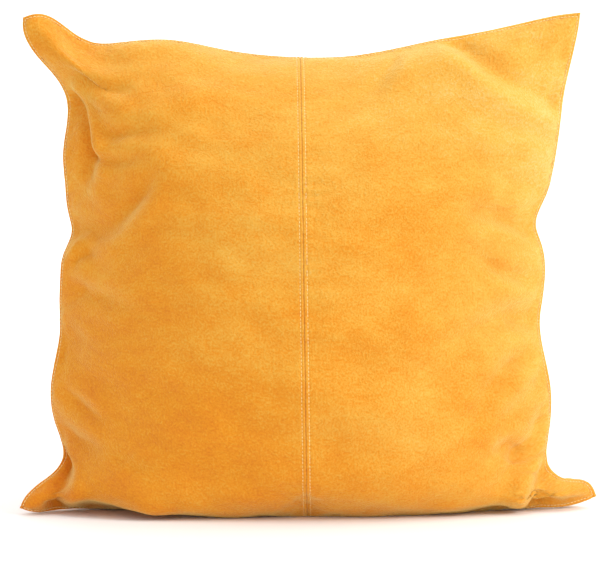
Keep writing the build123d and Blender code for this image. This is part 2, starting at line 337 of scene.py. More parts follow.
@dataclass
class CoverForm:
    """The inside surface of the filled cover, front and back, as grids of points."""

    half_thickness: float = 0.088
    corner_power: float = 3.0
    mid_half_width: float = 0.213
    zip_half: float = 0.185
    edge_half: float = 0.0012
    side_slack: float = 0.016  # the side seams' cloth has slid down this much, halfway up
    cells: int = 128
    coarse_frames: int = 12
    fine_frames: int = 12
    base_push: float = 0.024
    pull_clearance: float = 0.0024  # how far below the zip's arc the cloth past its ends is kept
    unevenness_seeds: tuple[int, int] = (11, 23)  # front, back
    surface: dict[Side, Grid] = field(default_factory=dict)

    # Seam points: millimetres along the side's cut from its corner, then x, y and z.
    LEFT = [
        (0, -248, -34, 6), (16, -241, -30, 18), (38, -223, -16, 32), (56, -214, -4, 46),
        (84, -220, 5, 72), (112, -224, -4, 98), (142, -221, -7, 125), (172, -217, 5, 152),
        (204, -217, 7, 178), (236, -215, -5, 205), (256, -212, -7, 222), (276, -206, 3, 240),
        (298, -209, 8, 258), (330, -211, 0, 284), (362, -212, -4, 310), (396, -209, 4, 340),
        (418, -211, 8, 360), (438, -220, 4, 377), (457, -232, -3, 391), (476, -242, -10, 406),
        (488, -245, -13, 416), (500, -245, -14, 426),
    ]
    TOP = [
        (0, -245, -14, 426), (14, -233, -12, 429), (30, -219, -4, 425), (44, -206, 6, 415),
        (62, -189, 6, 406), (90, -162, 0, 405), (130, -123, -3, 407), (180, -76, 2, 399),
        (230, -28, 4, 393), (280, 22, 2, 392), (330, 68, -2, 398), (372, 110, -3, 407),
        (410, 148, 0, 414), (450, 188, 3, 423), (480, 216, 2, 429), (500, 234, -2, 431),
    ]
    RIGHT = [
        (0, 252, 8, 10), (14, 246, 6, 21), (44, 222, -4, 27), (62, 209, -2, 38),
        (84, 208, 5, 58), (112, 211, 6, 84), (142, 209, -5, 111), (176, 203, -6, 139),
        (208, 201, 5, 165), (242, 205, 7, 199), (272, 202, -2, 229), (294, 196, -7, 246),
        (312, 198, -2, 258), (334, 206, 7, 274), (362, 212, 4, 299), (398, 216, -4, 330),
        (436, 221, 0, 366), (466, 228, 4, 395), (486, 232, 1, 416), (500, 234, -2, 431),
    ]
    BOTTOM = [
        (0, -248, -34, 6), (20, -234, -26, 2), (45, -214, -10, 2), (90, -168, -3, 2),
        (150, -106, 3, 2), (250, -1, -2, 2), (350, 98, 3, 2), (410, 160, -2, 2),
        (455, 208, 0, 2), (480, 232, 6, 3), (500, 252, 8, 10),
    ]
    # The upright section through the middle: distance from the seam plane, height.
    BELOW_ZIP = [
        (88, 190), (91, 150), (91, 110), (88, 70), (80, 36), (66, 11), (50, 2.2), (25, 2), (0, 2),
    ]
    ABOVE_ZIP = [(88, 190), (85.5, 232), (78, 276), (64, 318), (43, 356), (20, 382), (0, 393)]

    CLOTH = {
        "quality": 5, "mass": 0.0003, "air_damping": 1.0, "tension_stiffness": 40,
        "compression_stiffness": 15, "shear_stiffness": 4, "bending_stiffness": 0.05,
        "tension_damping": 10, "compression_damping": 10, "shear_damping": 10, "use_pressure": True,
        "uniform_pressure_force": 4.0, "vertex_group_pressure": "pressed", "vertex_group_mass": "held",
    }

    # Around the roots of the ears, then along the sides, then the loose ones. In each row: the
    # start, the end, depth, width, bow and whether the ends fade.
    FOLDS = (
        *folds(
            Side.FRONT,
            (446, 2, 498, 68, 9.5, 10.0, 8, False), (2, 70, 40, 2, 8.0, 9.0, 2, False),
            (96, 440, 4, 444, 6.0, 9.0, -3), (498, 430, 385, 498, 7.0, 11.0, 10, False),
            (6, 424, 40, 374, 7.0, 8.0, 4, False), (44, 384, 24, 340, 6.4, 9.0, 0),
            (120, 356, 8, 290, 7.04, 11.0, 8), (14, 262, 50, 284, 4.61, 6.0, 3),
            (34, 372, 112, 364, 4.61, 8.0, 8), (50, 398, 130, 392, 3.84, 8.0, 5),
            (14, 236, 96, 232, 4.35, 9.0, 8), (12, 132, 80, 116, 3.84, 8.0, 5),
            (14, 92, 78, 110, 3.84, 9.0, -6), (60, 300, 200, 280, 2.05, 12.0, 10),
            (90, 16, 150, 34, 3.84, 8.0, 6), (180, 10, 240, 22, 3.07, 8.0, 4),
            (326, 16, 270, 30, 3.84, 8.0, 5), (430, 110, 494, 70, 5.76, 11.0, 8),
            (490, 196, 404, 128, 6.14, 11.0, -12), (492, 138, 430, 70, 5.89, 10.0, 12),
            (490, 236, 380, 196, 4.61, 12.0, -10), (494, 262, 400, 296, 5.89, 8.0, 8),
            (494, 306, 380, 322, 4.35, 10.0, -10), (492, 360, 400, 380, 3.84, 10.0, 8),
            (494, 404, 410, 404, 3.33, 9.0, -6), (390, 484, 470, 430, 4.1, 9.0, -8),
            (340, 486, 300, 440, 2.82, 9.0, 6), (480, 330, 300, 340, 2.3, 13.0, 10),
            (470, 268, 290, 244, 2.3, 13.0, -10),
        ),
        *folds(
            Side.BACK,
            (2, 436, 80, 498, 7.0, 10.0, 4, False), (405, 498, 498, 430, 7.0, 10.0, 4, False),
            (50, 2, 2, 60, 8.0, 9.0, 2, False), (498, 60, 450, 2, 8.0, 9.0, -2, False),
            (14, 320, 130, 340, 4.0, 10.0, 8), (14, 372, 120, 366, 3.4, 10.0, -8),
            (14, 150, 130, 130, 4.0, 10.0, -8), (486, 330, 380, 350, 4.0, 10.0, -8),
            (486, 390, 390, 396, 3.0, 10.0, 8), (486, 140, 380, 110, 4.0, 10.0, 8),
            (440, 478, 370, 380, 3.4, 12.0, 8), (60, 478, 140, 380, 3.4, 12.0, -8),
            (90, 20, 160, 70, 3.0, 11.0, 8), (410, 20, 330, 70, 3.0, 11.0, -8),
        ),
    )

    def arch(self, s: float) -> tuple[float, float]:
        """Level section at the zip's height: an arc behind the zip and one to each side.

        Args:
            s: from -1 to 1 by length along the section.

        Returns:
            x, and the distance from the seam plane.
        """
        radius = ZIP_RADIUS - WALL
        centre = self.half_thickness - ZIP_RADIUS
        turn = math.asin(self.zip_half / ZIP_RADIUS)
        direction = (math.sin(turn), math.cos(turn))
        seam = (self.mid_half_width - WALL, self.edge_half - centre)
        across = seam[0] * direction[0] + seam[1] * direction[1]
        reach = (seam[0] ** 2 + seam[1] ** 2 - radius**2) / (2 * (across - radius))
        side_radius = radius - reach
        side_centre = (reach * direction[0], centre + reach * direction[1])
        end = math.acos((self.edge_half - side_centre[1]) / side_radius)
        run = abs(s) * (radius * turn + side_radius * (end - turn))
        if run < radius * turn:
            angle = run / radius
            x, y = radius * math.sin(angle), centre + radius * math.cos(angle)
        else:
            angle = turn + (run - radius * turn) / side_radius
            x = side_centre[0] + side_radius * math.sin(angle)
            y = side_centre[1] + side_radius * math.cos(angle)
        return math.copysign(x, s), y

    def seam(self, cells: int) -> tuple[Grid, Grid, Grid, Grid]:
        """Left, top, right and bottom seam lines, at even spacing on the cut."""
        lines = []
        for points in (self.LEFT, self.TOP, self.RIGHT, self.BOTTOM):
            table = np.array(points, dtype=float) * MM
            if points in (self.LEFT, self.RIGHT):
                table[:, 0] += self.side_slack * np.sin(math.pi * table[:, 0] / CUT)
            places = np.linspace(0, CUT, cells + 1)
            lines.append(natural_spline(table[:, 0], table[:, 1:], places))
        return tuple(lines)

    def start_shape(self, side: Side, cells: int) -> Grid:
        """Filled shape before the cloth settles: rows from the bottom, columns from the left."""
        left, top, right, bottom = self.seam(cells)
        low = even_outline(self.BELOW_ZIP, cells // 2 + 1)
        high = even_outline(self.ABOVE_ZIP, cells // 2 + 1)
        section = np.r_[low[::-1], high[1:]]
        level = np.array([self.arch(s) for s in np.linspace(-1, 1, cells + 1)])
        shape = np.zeros((cells + 1, cells + 1, 3))
        shape[..., 0] = level[None, :, 0]
        across = np.clip((level[None, :, 1] - self.edge_half) / self.half_thickness, 0, 1)
        up = np.clip(section[:, :1] / self.half_thickness, 0, None)
        power = self.corner_power
        both = (across**power + up**power - (across * up) ** power) ** (1 / power)
        shape[..., 1] = side.value * self.half_thickness * across * up / np.maximum(both, 1e-6)
        shape[..., 2] = section[:, 1:]
        # Bring the border onto the seam line and carry the change inwards.
        u, v = np.meshgrid(np.linspace(0, 1, cells + 1), np.linspace(0, 1, cells + 1))
        gaps = (left - shape[:, 0], right - shape[:, -1], bottom - shape[0], top - shape[-1])
        near_left, near_right = (w * np.exp(-(((1 - w) / 0.22) ** 2)) for w in (1 - u, u))
        change = near_left[..., None] * gaps[0][:, None] + near_right[..., None] * gaps[1][:, None]
        change += (1 - v)[..., None] * gaps[2][None] + v[..., None] * gaps[3][None]
        change -= (near_left * (1 - v))[..., None] * gaps[0][0]
        change -= (near_right * (1 - v))[..., None] * gaps[1][0]
        top_corners = (near_left * v)[..., None] * gaps[0][-1] + (near_right * v)[..., None] * gaps[1][-1]
        change -= top_corners
        inside = np.minimum(np.minimum(u, 1 - u), np.minimum(v, 1 - v)) * CUT
        change[..., 1] *= np.exp(-((inside / 0.045) ** 2))
        return shape + change

    def add_folds(self, side: Side, points: Grid) -> Grid:
        """Press the folds and some seeded unevenness into a grid of points."""
        cells = len(points) - 1
        u, v = np.meshgrid(np.linspace(0, CUT, cells + 1), np.linspace(0, CUT, cells + 1))
        height = sum(fold.height(u, v) for fold in self.FOLDS if fold.side is side)
        seed = self.unevenness_seeds[side is Side.BACK]
        for offset, (depth, wavelength) in enumerate(((1.5 * MM, 0.070), (0.6 * MM, 0.028))):
            height = height + depth * wandering(u * 0.6, v, wavelength, seed + offset)
        inside = np.minimum(np.minimum(u, CUT - u), np.minimum(v, CUT - v))
        height = height * smooth_step(inside, 0, 0.012)
        if side is Side.BACK:
            height = height * smooth_step(np.abs(v - CUT / 2), 0.008, 0.035)
        return points + height[..., None] * self.grid_normals(side, points)

    @staticmethod
    def grid_normals(side: Side, points: Grid) -> Grid:
        """Outward directions of a grid."""
        across = np.gradient(points, axis=1)
        up = np.gradient(points, axis=0)
        return unit(np.cross(across, up)) * -side.value

    def hold_zip(self, points: Grid) -> list[int]:
        """Lay the rows beside the zip on its arc and return their numbers."""
        cells = len(points) - 1
        rows = [cells // 2] if cells < 100 else [cells // 2 - 1, cells // 2, cells // 2 + 1]
        for row in rows:
            for column in range(1, cells):
                x, y = self.arch(2 * column / cells - 1)
                height = ZIP_HEIGHT + (row - cells // 2) * SLOT_HALF
                free = np.clip((abs(x) - 0.195) / 0.015, 0, 1)
                held = np.array([x, y, height])
                points[row, column] = held * (1 - free) + points[row, column] * free
        return rows

    def simulate(self, start: dict[Side, Grid], rows: list[int], frames: int) -> dict[Side, Grid]:
        """Let the cloth settle over the filling.

        Args:
            start: front and back grids that share their border.
            rows: rows of the back that the zip holds.
            frames: how many steps to run.

        Returns:
            The settled grids.
        """
        cells = len(start[Side.FRONT]) - 1
        steps = np.linspace(0, 1, cells + 1)
        index = np.zeros((2, cells + 1, cells + 1), dtype=int)
        index[0] = np.arange((cells + 1) ** 2).reshape(cells + 1, cells + 1)
        index[1] = index[0]
        inner = (cells - 1) ** 2
        index[1, 1:-1, 1:-1] = (cells + 1) ** 2 + np.arange(inner).reshape(cells - 1, cells - 1)
        front, back = start[Side.FRONT], start[Side.BACK][1:-1, 1:-1]
        vertices = np.r_[front.reshape(-1, 3), back.reshape(-1, 3)]
        faces = []
        for layer, flip in ((0, False), (1, True)):
            i = index[layer]
            quads = np.stack([i[:-1, :-1], i[:-1, 1:], i[1:, 1:], i[1:, :-1]], -1).reshape(-1, 4)
            faces.append(quads[:, ::-1] if flip else quads)
        bag = new_mesh_object("cover_cloth", vertices, np.concatenate(faces))

        flat = np.zeros((len(vertices), 3), dtype=np.float32)
        for layer in (0, 1):
            flat[index[layer].ravel(), 0] = np.tile((steps - 0.5) * CUT, cells + 1)
            flat[index[layer].ravel(), 2] = np.repeat(steps * CUT, cells + 1)
        bag.shape_key_add(name="filled")
        rest = bag.shape_key_add(name="cut")
        rest.data.foreach_set("co", flat.ravel())
        rest.value = 0

        held = bag.vertex_groups.new(name="held")
        border = np.r_[index[0, 0], index[0, -1], index[0, :, 0], index[0, :, -1]]
        held.add([int(k) for k in np.unique(border)], 1.0, "REPLACE")
        zip_columns = [c for c in range(1, cells) if abs(2 * c / cells - 1) < 0.84]
        for row in rows:
            held.add([int(index[1, row, c]) for c in zip_columns], 1.0, "REPLACE")
        pressed = bag.vertex_groups.new(name="pressed")
        u, v = np.meshgrid(steps, steps)
        corner = np.hypot((1 - np.abs(2 * u - 1)), (1 - np.abs(2 * v - 1))) * CUT / 2
        weights = smooth_step(corner, 0.045, 0.085)
        for layer in (0, 1):
            for number, weight in zip(index[layer].ravel(), weights.ravel()):
                pressed.add([int(number)], float(weight), "REPLACE")

        cloth = bag.modifiers.new("settle", "CLOTH")
        settings = cloth.settings
        for key, value in self.CLOTH.items():
            setattr(settings, key, value)
        settings.effector_weights.gravity = 0.0
        settings.rest_shape_key = rest
        cloth.collision_settings.distance_min = 0.002
        cloth.point_cache.frame_start = 1
        cloth.point_cache.frame_end = frames + 1
        scene = bpy.context.scene
        for number in range(1, frames + 1):
            scene.frame_set(number)
        settled = bag.evaluated_get(bpy.context.evaluated_depsgraph_get())
        points = np.zeros(len(vertices) * 3, dtype=np.float32)
        settled.data.vertices.foreach_get("co", points)
        points = points.reshape(-1, 3).astype(float)
        mesh = bag.data
        bpy.data.objects.remove(bag)
        bpy.data.meshes.remove(mesh)
        scene.frame_set(1)
        return {Side.FRONT: points[index[0]], Side.BACK: points[index[1]]}

    def settle(self) -> None:
        """Build the start shape, simulate it in two passes and keep the result."""
        cells = self.cells
        seam_lines = self.seam(cells)
        coarse = {side: self.start_shape(side, cells // 2) for side in Side}
        rows = self.hold_zip(coarse[Side.BACK])
        coarse = self.simulate(coarse, rows, self.coarse_frames)
        shapes = {side: refine(coarse[side]) for side in Side}
        left, top, right, bottom = seam_lines
        for points in shapes.values():
            points[:, 0], points[:, -1], points[0], points[-1] = left, right, bottom, top
        rows = self.hold_zip(shapes[Side.BACK])
        shapes = self.simulate(shapes, rows, self.fine_frames)
        shapes = {side: self.add_folds(side, refine(shapes[side])) for side in Side}
        self.push_base_out(shapes[Side.FRONT])
        self.make_room_for_pull(shapes[Side.BACK])
        for points in shapes.values():
            points[..., 2] = np.maximum(points[..., 2], WALL)
        self.surface = shapes
        LOG.info("cover settled on %d cells", cells)

    def push_base_out(self, points: Grid) -> None:
        """Let the front's lower left, where the filling has slumped, stand further out."""
        steps = np.linspace(0, CUT, len(points))
        u, v = np.meshgrid(steps, steps)
        inside = np.minimum(np.minimum(u, CUT - u), v)
        reach = np.exp(-(((u - 0.095) / 0.075) ** 2) - ((v - 0.040) / 0.050) ** 2)
        points[..., 1] -= self.base_push * reach * smooth_step(inside, 0.002, 0.035)

    def make_room_for_pull(self, points: Grid) -> None:
        """Keep the back below the zip's arc past its ends, where the pull lies when turned over."""
        centre = self.half_thickness - ZIP_RADIUS
        span = (ZIP_RADIUS - WALL) ** 2 - points[..., 0] ** 2
        arc = centre + np.sqrt(np.maximum(span, 0)) - self.pull_clearance
        proud = np.maximum(points[..., 1] - arc, 0)
        past_end = smooth_step(np.abs(points[..., 0]), 0.177, 0.189)
        beside = 1 - smooth_step(np.abs(points[..., 2] - ZIP_HEIGHT), 0.009, 0.028)
        points[..., 1] -= proud * past_end * beside

    def sample(self, side: Side, u: np.ndarray, v: np.ndarray) -> np.ndarray:
        """Points of the inside surface, by smooth interpolation of the grid.

        Args:
            side: front or back.
            u: metres across the cut from the left.
            v: metres up the cut, in an array of the same shape.

        Returns:
            An array of points with one more axis than u.
        """
        points = self.surface[side]
        cells = len(points) - 1

        def weights(place: np.ndarray) -> Pair:
            f = np.clip(place / CUT, 0, 1) * cells
            base = np.clip(np.floor(f).astype(int), 0, cells - 1)
            t = f - base
            numbers = base[..., None] + np.arange(-1, 3)
            shape = np.stack(
                [
                    (-t + 2 * t**2 - t**3) / 2,
                    (2 - 5 * t**2 + 3 * t**3) / 2,
                    (t + 4 * t**2 - 3 * t**3) / 2,
                    (t**3 - t**2) / 2,
                ],
                -1,
            )
            return numbers, shape

        padded = np.pad(points, ((1, 1), (1, 1), (0, 0)), mode="reflect", reflect_type="odd")
        column, column_weight = weights(u)
        row, row_weight = weights(v)
        near = padded[row[..., :, None] + 1, column[..., None, :] + 1]
        return np.einsum("...r,...c,...rck->...k", row_weight, column_weight, near)

    def normals(self, side: Side, u: np.ndarray, v: np.ndarray) -> np.ndarray:
        """Outward directions of the surface at u, v."""
        small = 0.0015
        u, v = np.clip(u, 0, CUT), np.clip(v, 0, CUT)
        low_u, high_u = np.clip(u - small, 0, CUT), np.clip(u + small, 0, CUT)
        low_v, high_v = np.clip(v - small, 0, CUT), np.clip(v + small, 0, CUT)
        across = self.sample(side, high_u, v) - self.sample(side, low_u, v)
        up = self.sample(side, u, high_v) - self.sample(side, u, low_v)
        return unit(np.cross(across, up)) * -side.value


# ---------------------------------------------------------------------------- finishes


class Nodes:
    """A short way to build a material's node tree."""

    def __init__(self, name: str) -> None:
        """Start a material with a principled shader."""
        self.material = bpy.data.materials.new(name)
        self.material.use_nodes = True
        self.tree = self.material.node_tree
        self.shader = self.tree.nodes["Principled BSDF"]

    def add(self, kind: str, **settings: object) -> bpy.types.Node:
        """Add a node and set its properties."""
        node = self.tree.nodes.new(kind)
        for key, value in settings.items():
            setattr(node, key, value)
        return node

    def link(self, source: Socket, target: Socket) -> None:
        """Join two sockets."""
        self.tree.links.new(source, target)

    def place(self, use_cut: bool, scale: Place = (1, 1, 1)) -> Socket:
        """Coordinates on the cut or in the object, in metres times scale."""
        source = self.add("ShaderNodeTexCoord")
        mapping = self.add("ShaderNodeMapping")
        mapping.inputs["Scale"].default_value = scale
        self.link(source.outputs["UV" if use_cut else "Object"], mapping.inputs["Vector"])
        return mapping.outputs["Vector"]

    def noise(
        self, place: Socket, size: float, detail: float = 3.0, rough: float = 0.55
    ) -> Socket:
        """Noise whose features are about size metres across."""
        node = self.add("ShaderNodeTexNoise")
        node.inputs["Scale"].default_value = 1.0 / size
        node.inputs["Detail"].default_value = detail
        node.inputs["Roughness"].default_value = rough
        self.link(place, node.inputs["Vector"])
        return node.outputs["Fac"]

    def spread(self, value: Socket, low: float, high: float) -> Socket:
        """Stretch low..high of a value to 0..1."""
        node = self.add("ShaderNodeMapRange")
        node.inputs["From Min"].default_value = low
        node.inputs["From Max"].default_value = high
        self.link(value, node.inputs["Value"])
        return node.outputs["Result"]

    def math(
        self, operation: str, first: Socket, second: Socket | float
    ) -> Socket:
        """Combine two values."""
        node = self.add("ShaderNodeMath", operation=operation)
        self.link(first, node.inputs[0])
        if isinstance(second, float):
            node.inputs[1].default_value = second
        else:
            self.link(second, node.inputs[1])
        return node.outputs["Value"]

    def ramp(
        self, value: Socket, stops: list[tuple[float, Colour]]
    ) -> Socket:
        """Colours along a value."""
        node = self.add("ShaderNodeValToRGB")
        elements = node.color_ramp.elements
        while len(elements) < len(stops):
            elements.new(0.5)
        for element, (place, colour) in zip(elements, stops):
            element.position = place
            element.color = (*colour, 1.0)
        self.link(value, node.inputs["Fac"])
        return node.outputs["Color"]

    def tone(self, value: Socket, *stops: tuple[float, Colour]) -> None:
        """Colour the surface along a value."""
        self.link(self.ramp(value, list(stops)), self.shader.inputs["Base Color"])

    def put(self, **values: float) -> None:
        """Set inputs of the shader; an underscore stands for a space."""
        for key, value in values.items():
            self.shader.inputs[key.replace("_", " ")].default_value = value

    def bump(self, height: Socket, distance: float, strength: float) -> None:
        """Raise the surface by a height, after any bump already there."""
        node = self.add("ShaderNodeBump")
        node.inputs["Distance"].default_value = distance
        node.inputs["Strength"].default_value = strength
        self.link(height, node.inputs["Height"])
        normal = self.shader.inputs["Normal"]
        if normal.is_linked:
            self.link(normal.links[0].from_socket, node.inputs["Normal"])
        self.link(node.outputs["Normal"], normal)


@dataclass(frozen=True)
class Velvet:
    """Short-pile cotton velvet with a nap that lies unevenly, and painted light that makes it paler
    towards the upper right.
    """

    deep: Colour = (0.68, 0.185, 0.004)
    middle: Colour = (0.77, 0.280, 0.010)
    light: Colour = (0.80, 0.410, 0.055)
    # Palest stop: reached mostly where the painted light is strongest.
    palest_lit: Colour = (0.81, 0.530, 0.160)
    sheen: float = 1.0
    sheen_roughness: float = 0.42
    sheen_tint: Colour = (1.0, 0.84, 0.34)

    def build(self) -> Material:
        """Return the finished material."""
        n = Nodes("amber velvet")
        cut = n.place(True)
        streaked = n.place(True, (0.6, 1.0, 1.0))
        clouds = n.spread(n.noise(streaked, 0.090, 4.0, 0.6), 0.30, 0.70)
        brushed = n.spread(n.noise(streaked, 0.020, 5.0, 0.7), 0.28, 0.72)
        mottle = n.spread(n.noise(cut, 0.0045, 5.0, 0.75), 0.32, 0.68)
        grain = n.spread(n.noise(cut, 0.0019, 2.0, 0.6), 0.32, 0.68)
        # Painted light: the colour is paler and yellower towards the upper right of the cut, standing in
        # for the light from that side, on top of the pile's random tone.
        parts = n.add("ShaderNodeSeparateXYZ")
        n.link(cut, parts.inputs["Vector"])
        across, up = parts.outputs["X"], parts.outputs["Y"]
        blend = n.math("MULTIPLY", clouds, 0.20)
        # The across and up shares paint that light; the four noises are the pile's own tone.
        shares = ((brushed, 0.18), (mottle, 0.13), (grain, 0.22), (across, 0.44), (up, 0.36))
        for layer, share in shares:
            blend = n.math("ADD", blend, n.math("MULTIPLY", layer, share))
        n.tone(blend, (0.24, self.deep), (0.48, self.middle), (0.72, self.light), (0.95, self.palest_lit))
        rough = n.spread(brushed, -1.2, 1.4)
        n.link(rough, n.shader.inputs["Roughness"])
        n.put(Specular_IOR_Level=0.18, Sheen_Weight=self.sheen, Sheen_Roughness=self.sheen_roughness)
        n.shader.inputs["Sheen Tint"].default_value = (*self.sheen_tint, 1.0)
        n.bump(brushed, 0.0012, 0.30)
        n.bump(mottle, 0.0006, 0.60)
        n.bump(grain, 0.0004, 0.70)
        return n.material


@dataclass(frozen=True)
class Thread:
    """Twisted sewing thread."""

    name: str
    dark: Colour
    light: Colour

    def build(self) -> Material:
        """Return the finished material."""
        n = Nodes(self.name)
        place = n.place(False)
        ply = n.spread(n.noise(place, 0.0009, 2.0), 0.3, 0.7)
        n.tone(ply, (0.0, self.dark), (1.0, self.light))
        n.put(Roughness=0.55, Sheen_Weight=0.25)
        n.bump(ply, 0.0002, 0.5)
        return n.material


@dataclass(frozen=True)
class Woven:
    """Plain woven cloth or tape."""

    name: str
    dark: Colour
    light: Colour
    pitch: float
    use_cut: bool = True

    def build(self) -> Material:
        """Return the finished material."""
        n = Nodes(self.name)
        place = n.place(self.use_cut)
        warp = n.add("ShaderNodeTexWave", wave_type="BANDS", bands_direction="X")
        upright = "Y" if self.use_cut else "Z"
        weft = n.add("ShaderNodeTexWave", wave_type="BANDS", bands_direction=upright)
        for wave in (warp, weft):
            wave.inputs["Scale"].default_value = 0.314 / self.pitch
            wave.inputs["Distortion"].default_value = 0.6
            n.link(place, wave.inputs["Vector"])
        weave = n.math("MULTIPLY", warp.outputs["Fac"], weft.outputs["Fac"])
        slub = n.spread(n.noise(place, 0.004), 0.3, 0.7)
        blend = n.math("ADD", n.math("MULTIPLY", weave, 0.6), n.math("MULTIPLY", slub, 0.4))
        n.tone(blend, (0.0, self.dark), (1.0, self.light))
        n.put(Roughness=0.8, Sheen_Weight=0.15)
        n.bump(weave, 0.0002, 0.6)
        return n.material


@dataclass(frozen=True)
class Moulded:
    """Nylon of the zip's coils."""

    name: str = "dyed nylon"
    dark: Colour = (0.52, 0.19, 0.015)
    light: Colour = (0.66, 0.27, 0.03)

    def build(self) -> Material:
        """Return the finished material."""
        n = Nodes(self.name)
        place = n.place(False)
        tone = n.spread(n.noise(place, 0.006), 0.3, 0.7)
        n.tone(tone, (0.0, self.dark), (1.0, self.light))
        n.link(n.spread(n.noise(place, 0.001), -1.0, 2.2), n.shader.inputs["Roughness"])
        n.bump(n.noise(place, 0.0008), 0.0001, 0.3)
        return n.material


@dataclass(frozen=True)
class Lacquered:
    """Lacquered zinc of the slider, pull and stops, worn in specks."""

    name: str = "lacquered zinc"
    paint: Colour = (0.60, 0.24, 0.02)
    worn: Colour = (0.70, 0.34, 0.06)

    def build(self) -> Material:
        """Return the finished material."""
        n = Nodes(self.name)
        place = n.place(False)
        wear = n.spread(n.noise(place, 0.002, 4.0), 0.45, 0.75)
        n.tone(wear, (0.3, self.paint), (1.0, self.worn))
        n.link(n.spread(n.noise(place, 0.0012), -0.6, 2.4), n.shader.inputs["Roughness"])
        n.put(Metallic=0.35, Coat_Weight=0.5, Coat_Roughness=0.2)
        n.bump(n.noise(place, 0.0006), 0.00005, 0.4)
        return n.material


@dataclass(frozen=True)
class Fibre:
    """Loose white polyester fibre."""

    name: str = "fibre filling"

    def build(self) -> Material:
        """Return the finished material."""
        n = Nodes(self.name)
        place = n.place(False)
        tuft = n.spread(n.noise(place, 0.012, 6.0, 0.7), 0.3, 0.7)
        n.tone(tuft, (0.0, (0.70, 0.70, 0.68)), (1.0, (0.93, 0.93, 0.91)))
        n.put(Roughness=0.95, Sheen_Weight=0.4)
        n.bump(tuft, 0.003, 0.7)
        return n.material


# ------------------------------------------------------------------------- the panels


def graded(length: float, step: float, fine_start: bool, fine_end: bool) -> np.ndarray:
    """Distances from 0 to length, close together beside sewn borders."""
    close = np.array([0, 0.25, 0.6, 1.0, 1.5, 2.0, 2.5, 3.0, 3.5, 4.1, 5.0, 6.4]) * MM
    head = close if fine_start else close[:1]
    tail = length - (close if fine_end else close[:1])[::-1]
    count = max(2, round((tail[0] - head[-1]) / step))
    return np.r_[head, np.linspace(head[-1], tail[0], count + 1)[1:-1], tail]


@dataclass
class Panel:
    """One cut piece of velvet, with its turned borders."""

    name: str
    side: Side
    u_span: tuple[float, float]
    v_span: tuple[float, float]
    borders: dict[str, Border]
    step: float = 0.0023

    def slot_edge(self, u: np.ndarray) -> np.ndarray:
        """How far the zip's opening pushes this panel's edge along the cut, at u."""
        row = CUT / 128
        return row * (1 - smooth_step(np.abs(u - CUT / 2), 0.1925, 0.1960))

    def lines(self) -> Pair:
        """Places of the panel's grid on the cut, as arrays of u and v."""
        (u_low, u_high), (v_low, v_high) = self.u_span, self.v_span
        sewn = [place in self.borders for place in ("left", "right", "bottom", "top")]
        across = u_low + graded(u_high - u_low, self.step, *sewn[:2])
        up = v_low + graded(v_high - v_low, self.step, *sewn[2:])
        u, v = np.meshgrid(across, up)
        if self.borders.get("bottom") is Border.HEM:
            v = v + self.slot_edge(u) * (v_high - v) / (v_high - v_low)
        if self.borders.get("top") is Border.HEM:
            v = v - self.slot_edge(u) * (v - v_low) / (v_high - v_low)
        return u, v

    def relief(self, u: np.ndarray, v: np.ndarray) -> np.ndarray:
        """Height of the pile's face above the inside surface.

        Args:
            u: metres across the cut.
            v: metres up the cut.

        Returns:
            Metres, less along borders and stitch rows and more on the rolls between.
        """
        (u_low, u_high), (v_low, v_high) = self.u_span, self.v_span
        distances = {"left": u - u_low, "right": u_high - u, "bottom": v - v_low, "top": v_high - v}
        height = np.full(u.shape, WALL)
        for place, border in self.borders.items():
            d = distances[place]
            if border is Border.HEM:
                d = d - self.slot_edge(u)
            near = np.clip(d / 0.0014, 0, 1)
            if border is Border.CENTRE:
                height -= 0.60 * WALL * (1 - near) ** 4
                height += 0.50 * MM * np.exp(-(((d - 0.0014) / 0.0011) ** 2))
                height -= 0.30 * MM * np.exp(-(((d - CENTRE_ROW) / 0.0007) ** 2))
                height += 0.20 * MM * np.exp(-(((d - 0.0048) / 0.0014) ** 2))
            else:
                height -= WALL * (1 - np.sqrt(np.clip(1 - (1 - near) ** 2, 0, 1)))
                row = EDGE_ROW if border is Border.KNIFE else ZIP_ROW - SLOT_HALF
                height += 0.35 * MM * np.exp(-(((d - 0.0016) / 0.0008) ** 2))
                height -= 0.50 * MM * np.exp(-(((d - row) / 0.0008) ** 2))
        return height

    def puckers(self, u: np.ndarray, v: np.ndarray) -> np.ndarray:
        """Small ripples that the sewing leaves beside the seams."""
        height = np.zeros(u.shape)
        centre = u - CUT / 2
        if self.side is Side.FRONT:
            reach = np.exp(-(((np.abs(centre) - 0.009) / 0.016) ** 2))
            drawn = 0.30 + 0.70 * np.exp(-(((v - 0.300) / 0.080) ** 2)) * (centre > 0)
            ripple = wandering(u * 0.25, v, 0.0100, 5)
            height += 0.55 * MM * reach * drawn * ripple
        inside = np.minimum(np.minimum(u, CUT - u), np.minimum(v, CUT - v))
        reach = np.exp(-(((inside - 0.008) / 0.009) ** 2))
        height += 0.30 * MM * reach * wandering(u, v, 0.011, 8)
        if self.side is Side.BACK:
            reach = np.exp(-(((np.abs(v - CUT / 2) - 0.014) / 0.010) ** 2))
            height += 0.25 * MM * reach * wandering(u, v * 0.3, 0.010, 9)
        return height * smooth_step(inside, 0, 0.004)

    def build(self, form: CoverForm, material: Material) -> None:
        """Args:
            form: the settled cover.
            material: the velvet.
        """
        u, v = self.lines()
        inner = form.sample(self.side, u, v)
        normal = form.normals(self.side, u, v)
        outer = inner + (self.relief(u, v) + self.puckers(u, v))[..., None] * normal
        outer[..., 2] = np.maximum(outer[..., 2], 0.0)
        inner = inner + 0.02 * MM * normal
        panel = closed_cloth(f"{self.name}_velvet", outer, inner, self.side is Side.BACK, (u, v))
        finish_piece(panel, "velvet", material, self.name)


# ------------------------------------------------------------------------- the threads


